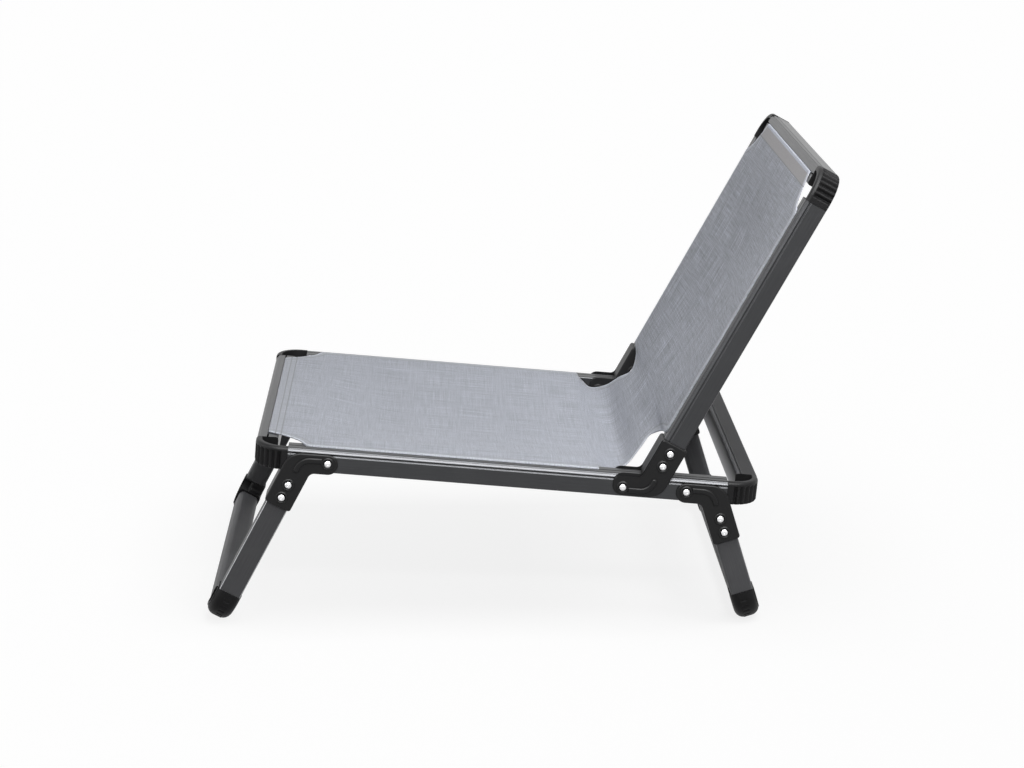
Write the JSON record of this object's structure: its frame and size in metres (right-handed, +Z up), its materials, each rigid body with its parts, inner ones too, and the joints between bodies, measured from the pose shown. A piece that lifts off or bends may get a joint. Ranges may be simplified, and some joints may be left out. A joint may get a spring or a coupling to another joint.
{
  "type": "folding lounge chair",
  "caption": "Low armless folding lounge chair: tube frames with ribbed corner connectors, forked hinge brackets and a stretched mesh sling; back and legs fold flat on the seat.",
  "frame": {"origin": "centre of the bounding box's base, on the floor between the four feet", "axes": "+X to the rear of the chair, -Y to the sitter's left, +Z up"},
  "size_m": [0.9228, 0.5946, 0.6846],
  "materials": {
    "dark_aluminium": "satin dark grey anodised extrusion",
    "black_plastic": "matt black moulded plastic",
    "bright_steel": "bright domed rivet",
    "grey_mesh_cloth": "coated woven mesh",
    "black_welt": "black plastic rod"
  },
  "bodies": {
    "seat": {"seat_rail_left": "dark_aluminium", "seat_rail_right": "dark_aluminium", "seat_front_tube": "dark_aluminium", "seat_rear_tube": "dark_aluminium", "seat_front_corner_left": "black_plastic", "seat_front_corner_right": "black_plastic", "seat_rear_corner_left": "black_plastic", "seat_rear_corner_right": "black_plastic", "front_leg_pivot_rivet_left": "bright_steel", "front_leg_pivot_rivet_right": "bright_steel", "back_pivot_rivet_left": "bright_steel", "back_pivot_rivet_right": "bright_steel", "rear_leg_pivot_rivet_left": "bright_steel", "rear_leg_pivot_rivet_right": "bright_steel", "seat_sling": "grey_mesh_cloth", "seat_welt_left": "black_welt", "seat_welt_right": "black_welt", "seat_welt_front": "black_welt", "sling_bend": "grey_mesh_cloth"},
    "back": {"back_rail_left": "dark_aluminium", "back_rail_right": "dark_aluminium", "back_top_tube": "dark_aluminium", "back_corner_left": "black_plastic", "back_corner_right": "black_plastic", "back_bracket_left": "black_plastic", "back_bracket_right": "black_plastic", "back_sling": "grey_mesh_cloth", "back_welt_left": "black_welt", "back_welt_right": "black_welt", "back_welt_top": "black_welt", "back_rivet_inner_left": "bright_steel", "back_rivet_inner_right": "bright_steel", "back_rivet_outer_left": "bright_steel", "back_rivet_outer_right": "bright_steel"},
    "front_leg": {"front_leg_tube_left": "dark_aluminium", "front_leg_tube_right": "dark_aluminium", "front_leg_foot_left": "black_plastic", "front_leg_foot_right": "black_plastic", "front_leg_bracket_left": "black_plastic", "front_leg_bracket_right": "black_plastic", "front_leg_crossbar": "dark_aluminium", "front_leg_rivet_inner_left": "bright_steel", "front_leg_rivet_inner_right": "bright_steel", "front_leg_rivet_outer_left": "bright_steel", "front_leg_rivet_outer_right": "bright_steel"},
    "rear_leg": {"rear_leg_tube_left": "dark_aluminium", "rear_leg_tube_right": "dark_aluminium", "rear_leg_foot_left": "black_plastic", "rear_leg_foot_right": "black_plastic", "rear_leg_bracket_left": "black_plastic", "rear_leg_bracket_right": "black_plastic", "rear_leg_crossbar": "dark_aluminium", "rear_leg_rivet_inner_left": "bright_steel", "rear_leg_rivet_inner_right": "bright_steel", "rear_leg_rivet_outer_left": "bright_steel", "rear_leg_rivet_outer_right": "bright_steel"}
  },
  "joints": [
    {"name": "back_fold", "type": "hinge", "parent": "seat", "child": "back", "pos_m": [0.15617, 0, 0.21516], "axis": [0, -1, 0], "range_deg": [0, 108.5], "deforming": ["sling_bend"]},
    {"name": "front_leg_fold", "type": "hinge", "parent": "seat", "child": "front_leg", "pos_m": [-0.27597, 0, 0.25069], "axis": [0, -1, 0], "range_deg": [0, 113]},
    {"name": "rear_leg_fold", "type": "hinge", "parent": "seat", "child": "rear_leg", "pos_m": [0.25016, 0, 0.20743], "axis": [0, 1, 0], "range_deg": [0, 112.3]}
  ]
}
